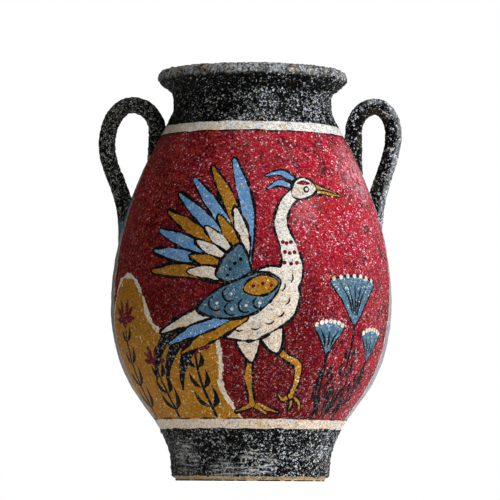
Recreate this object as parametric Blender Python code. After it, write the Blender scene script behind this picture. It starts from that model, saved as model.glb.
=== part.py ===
"""Painted clay vase with two loop handles, built as the single fired piece that it is.

Frame: +Z up, origin at the centre of the underside, handles towards -X and +X, painted front
towards -Y. Sizes below are in millimetres and become metres where points are made.
"""

import math
from typing import NamedTuple

import bmesh
import bpy
from mathutils import Vector

MM = 0.001

# Foot
FOOT_RADIUS = 38.3
FOOT_CHAMFER = 2.0  # how far the bare clay ring under the foot stands back from it
RING_HEIGHT = 1.2  # height of the bare clay ring
CHAMFER_HEIGHT = 1.3
RING_WIDTH = 7.0  # flat ring that the vase stands on
RECESS_DEPTH = 1.6  # hollow of the underside inside that ring

# Body
BELLY_RADIUS = 68.4
LOWER_BODY_HEIGHT = 83.0  # foot chamfer to the widest point
UPPER_BODY_HEIGHT = 95.1  # widest point to the narrowest point of the neck
NECK_RADIUS = 38.8
NECK_LENGTH = 6.8  # straight stretch above the narrowest point
FOOT_PULL = 0.4  # how long each end of the body's two curves stays upright, as a
BELLY_PULL_DOWN = 0.582  # share of that curve's height
BELLY_PULL_UP = 0.557
NECK_PULL = 0.071

# Lip
LIP_RADIUS = 46.2
LIP_HEIGHT = 12.5  # top of the straight neck to the top of the lip
BEAD_RADIUS = 3.7  # rounded outer edge of the lip
BEAD_START = math.radians(-45)  # where the underside of the lip runs into the bead
LIP_UNDER_PULL = 2.0
LIP_TOP_PULL = 4.0  # how far the top of the lip stays level towards the mouth
MOUTH_PULL = 6.0
MOUTH_DEPTH = 11.0  # top of the lip to where the mouth has narrowed to the neck

# Wall
WALL = 5.0
FLOOR_THICKNESS = 5.5
FLOOR_FILLET = 6.0  # rounded corner where the inner wall meets the floor

# Painted bands, as heights above the surface that the vase stands on
LOWER_BAND = (25.9, 30.3)
UPPER_BAND = (167.6, 172.8)
PAINTED_MOUTH_DEPTH = 22.0  # black slip runs this far down inside the mouth

# Handles, whose places are measured from the narrowest point of the neck
HANDLE_THICKNESS = 8.1
LEG_END_DROP = 31.0  # buried end of the leg that stands on the shoulder
LEG_TOP_DROP = 9.7  # where that leg starts to curve
CREST_RISE = 2.4
ROOT_DROP = 65.0  # buried lower end
UPPER_ROOT_PULL = 14.0
LOWER_ROOT_PULL = 28.0
ELLIPSE_PULL = 0.5523  # pull that makes a cubic follow a quarter ellipse

# What differs between the two hand-rolled handles
LEFT_LEG_MEETS_DROP = 16.2  # where the leg's centre line comes out of the shoulder
LEFT_SPAN = 24.4  # leg to widest point
LEFT_REACH_DROP = 14.2  # where the loop is widest
LEFT_ROOT_SINK = 4.0  # depth of the lower end's centre line under the wall's surface
RIGHT_LEG_MEETS_DROP = 21.9
RIGHT_SPAN = 19.4
RIGHT_REACH_DROP = 11.7
RIGHT_ROOT_SINK = 5.8

# Facets
TURNS = 56
BODY_STEPS = 11
INNER_STEPS = 7
LIP_STEPS = 4
BEAD_STEPS = 6
HANDLE_SIDES = 12
HANDLE_STEPS = 8

# Heights of the profile, worked out from the sizes above
CHAMFER_TOP = RING_HEIGHT + CHAMFER_HEIGHT
BELLY_HEIGHT = CHAMFER_TOP + LOWER_BODY_HEIGHT
WAIST_HEIGHT = BELLY_HEIGHT + UPPER_BODY_HEIGHT
NECK_TOP = WAIST_HEIGHT + NECK_LENGTH
LIP_TOP = NECK_TOP + LIP_HEIGHT
INNER_FLOOR = RECESS_DEPTH + FLOOR_THICKNESS


class Handle(NamedTuple):
    name: str
    side: int
    leg_meets_drop: float
    span: float
    crest_share: float  # place of the crest between the leg and the widest point
    reach_drop: float
    root_sink: float


HANDLES = (
    Handle(
        name="left_handle",
        side=-1,
        leg_meets_drop=LEFT_LEG_MEETS_DROP,
        span=LEFT_SPAN,
        crest_share=0.48,
        reach_drop=LEFT_REACH_DROP,
        root_sink=LEFT_ROOT_SINK,
    ),
    Handle(
        name="right_handle",
        side=1,
        leg_meets_drop=RIGHT_LEG_MEETS_DROP,
        span=RIGHT_SPAN,
        crest_share=0.54,
        reach_drop=RIGHT_REACH_DROP,
        root_sink=RIGHT_ROOT_SINK,
    ),
)


class Finish(NamedTuple):
    name: str
    colour: tuple
    roughness: float


FINISHES = (
    Finish("black_slip", (0.022, 0.022, 0.026), 0.45),
    Finish("red_slip", (0.30, 0.012, 0.020), 0.50),
    Finish("cream_slip", (0.70, 0.62, 0.48), 0.60),
    Finish("bare_clay", (0.60, 0.43, 0.24), 0.85),
)
BLACK, RED, CREAM, CLAY = range(len(FINISHES))


def cubic(start, start_pull, end_pull, end, steps):
    """Points of a Bezier curve, both ends included."""
    points = []
    for i in range(steps + 1):
        t = i / steps
        s = 1 - t
        points.append(
            start * s**3
            + start_pull * 3 * s * s * t
            + end_pull * 3 * s * t * t
            + end * t**3
        )
    return points


def point(radius, height):
    """A point of the turned profile: distance from the axis, and height."""
    return Vector((radius, height))


def upright_curve(start, start_share, end_share, end, steps):
    """An S-curve that leaves start and reaches end parallel to the axis."""
    rise = end.y - start.y
    return cubic(
        start,
        point(start.x, start.y + start_share * rise),
        point(end.x, end.y - end_share * rise),
        end,
        steps,
    )


def body_curve(steps):
    """The outer wall from the foot's chamfer to the narrowest point of the neck."""
    foot = point(FOOT_RADIUS, CHAMFER_TOP)
    belly = point(BELLY_RADIUS, BELLY_HEIGHT)
    waist = point(NECK_RADIUS, WAIST_HEIGHT)
    lower = upright_curve(foot, FOOT_PULL, BELLY_PULL_DOWN, belly, steps)
    upper = upright_curve(belly, BELLY_PULL_UP, NECK_PULL, waist, steps)
    return lower + upper[1:]


FINE_BODY = body_curve(200)


def wall_radius(height):
    """Outer radius of the body at a height between the foot and the neck."""
    for below, above in zip(FINE_BODY, FINE_BODY[1:]):
        if below.y <= height <= above.y:
            share = (height - below.y) / (above.y - below.y)
            return below.x + share * (above.x - below.x)
    return NECK_RADIUS if height > WAIST_HEIGHT else FOOT_RADIUS


def inside_of(curve, depth):
    """The curve moved towards the axis, square to itself, by depth."""
    moved = []
    for i, here in enumerate(curve):
        along = curve[min(i + 1, len(curve) - 1)] - curve[max(i - 1, 0)]
        along.normalize()
        moved.append(here + point(-along.y, along.x) * depth)
    return moved


def with_bands(curve):
    """The body's points, with one more at each edge of a painted band."""
    low, high = curve[0].y, curve[-1].y
    edges = [h for h in LOWER_BAND + UPPER_BAND if low < h < high]
    added = [point(wall_radius(h), h) for h in edges]
    return sorted(curve + added, key=lambda p: p.y)


def outer_profile():
    """Underside, foot, body and neck, from the axis outwards and up."""
    ring = FOOT_RADIUS - FOOT_CHAMFER
    return [
        point(0, RECESS_DEPTH),
        point(ring - RING_WIDTH - RECESS_DEPTH, RECESS_DEPTH),
        point(ring - RING_WIDTH, 0),
        point(ring, 0),
        point(ring, RING_HEIGHT),
        *with_bands(body_curve(BODY_STEPS)),
    ]


def lip_profile():
    """From the top of the neck round the bead and into the mouth."""
    bead = point(LIP_RADIUS - BEAD_RADIUS, LIP_TOP - BEAD_RADIUS)
    sweep = math.pi / 2 - BEAD_START
    angles = [BEAD_START + sweep * i / BEAD_STEPS for i in range(BEAD_STEPS + 1)]
    rim = [bead + BEAD_RADIUS * point(math.cos(a), math.sin(a)) for a in angles]
    neck = point(NECK_RADIUS, NECK_TOP)
    along_bead = point(-math.sin(BEAD_START), math.cos(BEAD_START))
    under = cubic(
        neck,
        neck + point(0, LIP_UNDER_PULL),
        rim[0] - along_bead * LIP_UNDER_PULL,
        rim[0],
        LIP_STEPS,
    )
    throat = point(NECK_RADIUS - WALL, LIP_TOP - MOUTH_DEPTH)
    mouth = cubic(
        rim[-1],
        rim[-1] - point(LIP_TOP_PULL, 0),
        throat + point(0, MOUTH_PULL),
        throat,
        LIP_STEPS,
    )
    return under + rim[1:] + mouth[1:]


def inner_profile():
    """Inner wall from the neck down to the floor, and in to the axis."""
    wall = inside_of(body_curve(INNER_STEPS), WALL)
    wall = [p for p in reversed(wall) if p.y > INNER_FLOOR + FLOOR_FILLET]
    corner = point(wall[-1].x, INNER_FLOOR)
    fillet = cubic(
        wall[-1],
        corner + point(0, FLOOR_FILLET / 2),
        corner - point(FLOOR_FILLET / 2, 0),
        corner - point(FLOOR_FILLET, 0),
        LIP_STEPS,
    )
    return wall + fillet[1:] + [point(0, INNER_FLOOR)]


def core_profile():
    """The body out to the middle of its wall, closed at the bottom and the top."""
    middle = inside_of(body_curve(BODY_STEPS), WALL / 2)
    return [point(0, middle[0].y), *middle, point(0, middle[-1].y)]


def turned_mesh(name, profile):
    """A closed mesh made by spinning a profile that starts and ends on the axis."""
    mesh = bpy.data.meshes.new(name)
    bm = bmesh.new()
    verts = [bm.verts.new((p.x * MM, 0, p.y * MM)) for p in profile]
    edges = [bm.edges.new(pair) for pair in zip(verts, verts[1:])]
    bmesh.ops.spin(
        bm,
        geom=verts + edges,
        cent=(0, 0, 0),
        axis=(0, 0, 1),
        angle=math.tau,
        steps=TURNS,
        use_merge=True,
    )
    bmesh.ops.remove_doubles(bm, verts=bm.verts, dist=0.001 * MM)
    bmesh.ops.recalc_face_normals(bm, faces=bm.faces)
    bm.to_mesh(mesh)
    bm.free()
    return mesh


def handle_path(handle):
    """Centre line of a handle: distance from the vase's axis, and height."""
    leg = wall_radius(WAIST_HEIGHT - handle.leg_meets_drop)
    reach = leg + handle.span
    crest = point(leg + handle.crest_share * handle.span, WAIST_HEIGHT + CREST_RISE)
    leg_end = point(leg, WAIST_HEIGHT - LEG_END_DROP)
    leg_top = point(leg, WAIST_HEIGHT - LEG_TOP_DROP)
    widest = point(reach, WAIST_HEIGHT - handle.reach_drop)
    root_height = WAIST_HEIGHT - ROOT_DROP
    root = point(wall_radius(root_height) - handle.root_sink, root_height)
    inner_arch = cubic(
        leg_top,
        leg_top + point(0, ELLIPSE_PULL * (crest.y - leg_top.y)),
        crest - point(ELLIPSE_PULL * (crest.x - leg), 0),
        crest,
        HANDLE_STEPS,
    )
    outer_arch = cubic(
        crest,
        crest + point(ELLIPSE_PULL * (reach - crest.x), 0),
        widest + point(0, ELLIPSE_PULL * (crest.y - widest.y)),
        widest,
        HANDLE_STEPS,
    )
    fall = cubic(
        widest,
        widest - point(0, UPPER_ROOT_PULL),
        root + point(0, LOWER_ROOT_PULL),
        root,
        HANDLE_STEPS,
    )
    return [leg_end] + inner_arch + outer_arch[1:] + fall[1:]


def coil_mesh(name, path, side):
    """A round coil of clay along a path in the XZ plane, closed at both ends."""
    mesh = bpy.data.meshes.new(name)
    bm = bmesh.new()
    radius = HANDLE_THICKNESS / 2
    rings = []
    for i, here in enumerate(path):
        along = path[min(i + 1, len(path) - 1)] - path[max(i - 1, 0)]
        along.normalize()
        ring = []
        for k in range(HANDLE_SIDES):
            turn = math.tau * k / HANDLE_SIDES
            out = radius * math.cos(turn)
            place = Vector((here.x + along.y * out, 0, here.y - along.x * out))
            place.y = radius * math.sin(turn)
            place.x *= side
            ring.append(bm.verts.new(place * MM))
        rings.append(ring)
    for low, high in zip(rings, rings[1:]):
        for k in range(HANDLE_SIDES):
            after = (k + 1) % HANDLE_SIDES
            bm.faces.new((low[k], low[after], high[after], high[k]))
    bm.faces.new(rings[0])
    bm.faces.new(rings[-1])
    bmesh.ops.recalc_face_normals(bm, faces=bm.faces)
    bm.to_mesh(mesh)
    bm.free()
    return mesh


def finish_material(finish):
    material = bpy.data.materials.new(finish.name)
    material.use_nodes = True
    shader = material.node_tree.nodes["Principled BSDF"]
    shader.inputs["Base Color"].default_value = (*finish.colour, 1)
    shader.inputs["Roughness"].default_value = finish.roughness
    material.diffuse_color = (*finish.colour, 1)
    return material


def finish_at(radius, height):
    """Which finish covers the turned surface at this place, in millimetres."""
    outside = radius > wall_radius(height) - WALL / 2
    if height > LIP_TOP - MOUTH_DEPTH:
        return BLACK
    if not outside:
        return BLACK if height > LIP_TOP - PAINTED_MOUTH_DEPTH else CLAY
    if height < RING_HEIGHT:
        return CLAY
    if LOWER_BAND[1] < height < UPPER_BAND[0]:
        return RED
    in_band = any(low < height < high for low, high in (LOWER_BAND, UPPER_BAND))
    return CREAM if in_band else BLACK


def paint(mesh):
    """Gives each face of the turned wall the finish that it has in that place."""
    for face in mesh.polygons:
        centre = face.center / MM
        face.material_index = finish_at(math.hypot(centre.x, centre.y), centre.z)


def add_object(name, mesh, materials):
    for material in materials:
        mesh.materials.append(material)
    made = bpy.data.objects.new(name, mesh)
    bpy.context.scene.collection.objects.link(made)
    return made


def hide_as_guide(guide):
    guide.hide_render = True
    guide.display_type = "WIRE"


def join_with(target, other, operation):
    """Adds a Boolean modifier, which keeps the finish of each side's faces."""
    boolean = target.modifiers.new(f"{operation.lower()} {other.name}", "BOOLEAN")
    boolean.operation = operation
    boolean.object = other
    boolean.material_mode = "TRANSFER"


def main():
    for old in list(bpy.data.objects):
        bpy.data.objects.remove(old, do_unlink=True)
    materials = [finish_material(finish) for finish in FINISHES]

    wall = turned_mesh("vase", outer_profile() + lip_profile() + inner_profile())
    paint(wall)
    vase = add_object("vase", wall, materials)

    # The handles end in the middle of the wall, so neither shows inside the vase.
    core = add_object("core", turned_mesh("core", core_profile()), materials[CLAY:])
    hide_as_guide(core)

    for handle in HANDLES:
        mesh = coil_mesh(handle.name, handle_path(handle), handle.side)
        coil = add_object(handle.name, mesh, materials[BLACK : BLACK + 1])
        join_with(coil, core, "DIFFERENCE")
        hide_as_guide(coil)
        join_with(vase, coil, "UNION")

    for made in (vase, core, *[bpy.data.objects[h.name] for h in HANDLES]):
        made.data.shade_smooth()
        made.data.set_sharp_from_angle(angle=math.radians(35))


main()
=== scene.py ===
"""The looks of a hand-painted clay vase with two loop handles.

The turned wall is triangulated flat, as its unrolled surface, with every painted edge as an
edge of the mesh, and is then wrapped round the profile that the frame has. Sizes are in
millimetres and become metres where the mesh is made. The front faces -Y.
"""

import math
from typing import NamedTuple

import bmesh
import bpy
import numpy as np
from mathutils import Matrix, Vector, kdtree, noise
from mathutils.geometry import delaunay_2d_cdt


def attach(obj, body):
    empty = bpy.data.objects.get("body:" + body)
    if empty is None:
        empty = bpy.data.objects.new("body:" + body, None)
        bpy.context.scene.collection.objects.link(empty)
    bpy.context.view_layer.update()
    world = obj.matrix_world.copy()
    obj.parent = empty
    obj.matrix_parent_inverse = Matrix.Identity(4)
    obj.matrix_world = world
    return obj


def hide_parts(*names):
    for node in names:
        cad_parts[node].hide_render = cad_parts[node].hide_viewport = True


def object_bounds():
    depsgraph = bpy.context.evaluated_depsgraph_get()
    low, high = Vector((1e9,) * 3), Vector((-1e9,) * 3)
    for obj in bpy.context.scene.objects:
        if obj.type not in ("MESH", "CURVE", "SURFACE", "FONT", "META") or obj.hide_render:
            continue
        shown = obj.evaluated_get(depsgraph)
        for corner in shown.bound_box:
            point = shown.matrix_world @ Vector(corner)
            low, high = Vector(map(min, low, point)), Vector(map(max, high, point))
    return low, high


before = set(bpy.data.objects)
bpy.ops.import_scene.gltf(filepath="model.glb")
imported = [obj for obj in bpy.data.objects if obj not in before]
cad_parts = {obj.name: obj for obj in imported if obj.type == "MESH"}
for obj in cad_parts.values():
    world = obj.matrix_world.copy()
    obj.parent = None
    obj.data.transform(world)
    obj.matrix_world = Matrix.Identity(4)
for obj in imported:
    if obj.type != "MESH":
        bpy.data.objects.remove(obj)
cad_low, cad_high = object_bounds()

MM = 0.001
SLACK = 0.01  # how exactly places on the frame's profile are told apart, in millimetres

# Mesh
WALL_STEP = 1.45  # spacing of the points on the painted wall
ROW_SHARE = 0.87  # how much of that lies between its rows, so that the triangles are even
EDGE_STEP = 0.9  # spacing of the points along a painted edge
EDGE_CLEARANCE = 0.55  # no other point of the wall stands nearer to a painted edge
RIM_TURNS = 264  # points round the foot, the lip and the inside
RIM_STEP = 0.95
FOOT_STEP = 0.3
INSIDE_STEP = 4.5
HANDLE_SIDES = 30
HANDLE_ROWS = 124
SHARP_CORNER = math.radians(30)
SAME_POINT = 1e-3  # closer than this, two points of the plan are one
DISC_RINGS = (0.66, 0.36, 0.12)  # radii of the rings in a flat disc, as shares of its own
COIL_MAP_GAP = 4  # between the wall and the coils on the map

# Surface: depths and widths of the unevenness about the true surface
HAND_WAVE, HAND_WAVE_WIDTH = 0.30, 26  # broad unevenness of a hand-finished wall
LUMPS, LUMP_WIDTH = 0.24, 5.5
SAND, FINE_SAND, COARSE_SAND = 1.05, 1.15, 2.2
PAINTED_SAND = 0.20  # share of the sand's depth that shows through the picture's paint
COILED_SHARE = 0.6  # share of all this on the handles, which were rubbed smoother
THROWING_LINES, LINE_TURN = 0.12, 2.6  # depth, and radians of wave per millimetre of height
WALL_INSET = 0.22  # how far the wall's mean surface lies inside the frame's
LEVEL_FOOT = 3.0  # height under which the foot is left ever truer, so that it stands level

# Bands, as heights
CLAY_EDGE = 2.5
LOWER_BAND = (24.9, 29.3)
UPPER_BAND = (167.6, 171.9)
NECK_TOP = 187.4
PAINTED_MOUTH_DEPTH = 22.0
SLIP_MARGIN = 2.0  # all is black this far past the cream bands, whatever the brush did

# Foot, as radii and heights
FOOT_CORNERS = ((36.3, 1.2), (36.3, 0.0), (29.3, 0.0), (27.7, 1.6))  # in to the recess
SLIP_EDGE = 2.0  # how far down the slip runs, on average
DARK_RIM = 0.5

# Paints, in the order of the mesh's material slots
BLACK, RED, CREAM, OCHRE, BLUE, SKY, MAROON, CLAY, LINE, GREY = range(10)

# Side panels under the handles, as heights and half widths in degrees
PANELS = {
    -90: ((29, 13.5), (60, 14.5), (112, 14.0), (140, 13.0), (154, 10.0), (160, 3.0)),
    90: ((29, 14.5), (70, 14.5), (92, 11.0), (106, 7.5), (130, 7.5), (148, 8.5), (155, 3.0)),
}
PANEL_EDGE = 0.7
PANEL_FIELDS = ((BLUE, 17.0), (GREY, 42.0))  # how far under the panel's top each colour starts
ARCH_POINTS = 26  # points over a panel's rounded top, which may run under a handle


# Profile and plan


def lengths(line):
    """How far along a line each of its points lies."""
    return np.cumsum([0, *np.linalg.norm(np.diff(line, axis=0), axis=1)])


def sampled(line, count):
    """Points spread evenly over a line, its ends among them."""
    length = lengths(line)
    even = np.linspace(0, length[-1], count)
    return np.column_stack([np.interp(even, length, line[:, k]) for k in range(2)])


def smooth_line(points, step, closed=False, corner=None):
    """A Catmull-Rom curve through the points, resampled evenly. Corners that turn by more
    than the given angle stay sharp."""
    p = np.asarray(points, float)
    if corner is not None:
        along = np.diff(p, axis=0)
        heading = np.unwrap(np.arctan2(along[:, 1], along[:, 0]))
        cuts = [0, *(np.nonzero(np.abs(np.diff(heading)) > corner)[0] + 1), len(p) - 1]
        runs = [smooth_line(p[a : b + 1], step) for a, b in zip(cuts, cuts[1:])]
        return np.vstack([runs[0], *[run[1:] for run in runs[1:]]])
    if closed:
        ring = np.vstack([p[-1:], p, p[:2]])
    else:
        ring = np.vstack([2 * p[0] - p[1], p, 2 * p[-1] - p[-2]])
    fine = []
    for a, b, c, d in zip(ring, ring[1:], ring[2:], ring[3:]):
        gaps = [math.dist(b, a) ** 0.5, math.dist(c, b) ** 0.5, math.dist(d, c) ** 0.5]
        k = np.cumsum([0, *gaps])
        t = np.linspace(k[1], k[2], 17)[:-1, None]
        ab = ((k[1] - t) * a + (t - k[0]) * b) / (k[1] - k[0])
        bc = ((k[2] - t) * b + (t - k[1]) * c) / (k[2] - k[1])
        cd = ((k[3] - t) * c + (t - k[2]) * d) / (k[3] - k[2])
        abc = ((k[2] - t) * ab + (t - k[0]) * bc) / (k[2] - k[0])
        bcd = ((k[3] - t) * bc + (t - k[1]) * cd) / (k[3] - k[1])
        fine.append(((k[2] - t) * abc + (t - k[1]) * bcd) / (k[2] - k[1]))
    fine = np.vstack([*fine, p[:1] if closed else p[-1:]])
    count = max(3 if closed else 1, round(lengths(fine)[-1] / step))
    line = sampled(fine, count + 1)
    return line[:-1] if closed else line


def cad_profile():
    """The turned profile of the frame's vase, as (radius, height), from the underside round
    the lip to the floor. It is read where the vase faces -Y, away from the handles."""
    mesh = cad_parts["vase"].data
    near = {}
    for v in mesh.vertices:
        if abs(v.co.x) < SLACK * MM and v.co.y < 0:
            near[v.index] = (round(-v.co.y / MM, 2), round(v.co.z / MM, 2))
    links = {place: set() for place in near.values()}
    for edge in mesh.edges:
        a, b = (near.get(i) for i in edge.vertices)
        if a and b and a != b:
            links[a].add(b)
            links[b].add(a)
    ends = [place for place, linked in links.items() if len(linked) == 1]
    path = [min(ends, key=lambda place: place[1])]
    while True:
        after = [p for p in links[path[-1]] if p not in path]
        if not after:
            return np.array(path)
        path.append(after[0])


class Profile:
    """The turned profile by its length, in millimetres from the inner edge of the foot ring."""

    def __init__(self, corners):
        self.line = smooth_line(corners, 0.5, corner=SHARP_CORNER)
        self.along = lengths(self.line)
        top = int(np.argmax(self.line[:, 1]))
        foot = int(np.argmax(self.line[:, 1] > CLAY_EDGE - SLACK))
        neck = int(np.argmax(self.line[:, 1] > NECK_TOP - SLACK))
        self.outer = slice(foot, neck + 1)
        self.foot, self.neck, self.top = self.along[[foot, neck, top]]
        self.end = self.along[-1]

    def at(self, along):
        """Radius and height."""
        radius = np.interp(along, self.along, self.line[:, 0])
        return radius, np.interp(along, self.along, self.line[:, 1])

    def outside(self, height):
        """Place along the outer wall at a height."""
        return np.interp(height, self.line[self.outer, 1], self.along[self.outer])

    def wall_radius(self, height):
        return np.interp(height, self.line[self.outer, 1], self.line[self.outer, 0])


profile = Profile(cad_profile())
BELLY = float(profile.line[:, 0].max())  # the plan is as wide as the belly is round
PLAN_WIDTH = math.tau * BELLY
SEAM = PLAN_WIDTH / 2


def on_plan(azimuth, drawing):
    """Points of a drawing, x across the wall and z up, as points of the flat plan."""
    x, z = np.asarray(drawing, float).T
    turn = math.radians(azimuth) + x / profile.wall_radius(z)
    return np.column_stack([turn * BELLY, profile.outside(z)])


# Brush work: each returns the closed outline of one touch of paint


def shape(*points):
    return smooth_line(points, EDGE_STEP, closed=True)


def stroke(points, widths):
    """A brush stroke along a curve, with its widths spread evenly from start to end."""
    line = smooth_line(points, EDGE_STEP)
    along = np.gradient(line, axis=0)
    along /= np.linalg.norm(along, axis=1)[:, None]
    side = np.column_stack([-along[:, 1], along[:, 0]])
    share = np.linspace(0, 1, len(line))
    half = np.interp(share, np.linspace(0, 1, len(widths)), widths)[:, None] / 2
    start, end = line[0] - along[0] * half[0], line[-1] + along[-1] * half[-1]
    return np.vstack([start, line + side * half, end, (line - side * half)[::-1]])


def leaf(base, tip, bend, width):
    """A slender blade from base to tip that bows sideways by bend."""
    base, tip = np.array(base, float), np.array(tip, float)
    middle = (base + tip) / 2 + bend * np.array([tip[1] - base[1], base[0] - tip[0]])
    return stroke([base, middle, tip], [0.4, width, width * 0.75, 0.3])


def polar(x, y, reach, angle):
    """The place at a reach and an angle from another."""
    return x + reach * math.cos(angle), y + reach * math.sin(angle)


def disc(x, y, radius):
    count = max(9, round(math.tau * radius / EDGE_STEP))
    turns = np.arange(count) * math.tau / count
    return np.column_stack([x + radius * np.cos(turns), y + radius * np.sin(turns)])


def sideways(outline):
    """Unit vectors across a closed outline, to the right of its run."""
    ahead = np.roll(outline, -1, axis=0) - np.roll(outline, 1, axis=0)
    side = np.column_stack([ahead[:, 1], -ahead[:, 0]])
    return side / (np.linalg.norm(side, axis=1)[:, None] + 1e-9)


def grown(outline, by):
    """The outline moved outwards, or inwards where by is negative."""
    x, y = outline.T
    turning = np.sum(x * np.roll(y, -1) - y * np.roll(x, -1))
    return outline + sideways(outline) * np.reshape(by, (-1, 1)) * (1 if turning > 0 else -1)


def pressure(outline):
    """How hard the brush presses at each point of an outline, about 1."""
    places = [Vector((x * 0.22, y * 0.22, 8.4)) for x, y in outline]
    return np.array([1 + 1.1 * noise.noise(p) + 0.7 * noise.noise(p * 4.3) for p in places])


def wavered(outline, depth=0.14):
    """The outline with the slight waver of a brush over sandy ground."""
    places = [Vector((x * 0.4, y * 0.4, 3.1)) for x, y in outline]
    shift = np.array([noise.noise(p) + 0.9 * noise.noise(p * 2.9) for p in places])
    return outline + sideways(outline) * (shift * depth)[:, None]


def clipped(outline, limit, side):
    """The part of an outline on the plan where side * u is below the limit."""
    made = []
    for before, point in zip(np.roll(outline, 1, axis=0), outline):
        over_before, over = side * before[0] - limit, side * point[0] - limit
        if (over_before > 0) != (over > 0):
            share = over_before / (over_before - over)
            made.append((side * limit, before[1] + share * (point[1] - before[1])))
        if over <= 0:
            made.append(tuple(point))
    return np.array(made)


class Picture:
    """The painted layers, the lowest first, each a paint and an outline on the plan."""

    def __init__(self):
        self.layers = []
        self.azimuth = 0.0

    def add(self, colour, outline):
        """Adds an outline on the plan. What crosses the seam goes on at the other side."""
        for wrap in (-PLAN_WIDTH, 0, PLAN_WIDTH):
            part = outline + (wrap, 0)
            for side in (-1, 1):
                if len(part) and (side * part[:, 0]).max() > SEAM:
                    part = clipped(part, SEAM, side)
            if len(part) > 2:
                self.layers.append((colour, part))

    def paint(self, colour, outline):
        self.add(colour, on_plan(self.azimuth, wavered(outline)))

    def outlined(self, colour, outline, line=LINE, width=1.2):
        pressed = pressure(outline)
        self.paint(line, grown(outline, width * 0.6 * pressed))
        self.paint(colour, grown(outline, -width * 0.4 * pressed))

    def ring(self, colour, low, high, depth=0.22):
        """A band right round the vase between two heights, with wavering edges."""
        turns = np.linspace(-SEAM, SEAM, round(PLAN_WIDTH / 1.6) + 1)
        edges = []
        for height in (low, high):
            at = [Vector((math.cos(u / BELLY) * 9, math.sin(u / BELLY) * 9, height)) for u in turns]
            waver = np.array([noise.noise(p) for p in at]) * depth * 2
            waver[-1] = waver[0]
            edges.append(np.column_stack([turns, profile.outside(height + waver)]))
        self.layers.append((colour, np.vstack([edges[0], edges[1][::-1]])))


picture = Picture()

# Picture: a crane that dances between an ochre mound and a blue papyrus

GROUND = 30.4


def feathers(roots, tips, colours, bow, widths):
    """Long feathers from roots to tips, each outlined in black."""
    for (x0, y0), (x1, y1), colour in zip(roots, tips, colours):
        middle = ((x0 + x1) / 2 + bow * (y1 - y0), (y0 + y1) / 2 - bow * (x1 - x0))
        picture.outlined(colour, stroke([(x0, y0), middle, (x1, y1)], widths), width=1.1)


def fan_tips(centre, reach, first, last, count):
    """Places round a centre, from the first to the last angle and reach."""
    turns = np.radians(np.linspace(first, last, count))
    reaches = np.linspace(*reach, count)
    x, y = centre
    return [polar(x, y, r, a) for a, r in zip(turns, reaches)]


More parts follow.
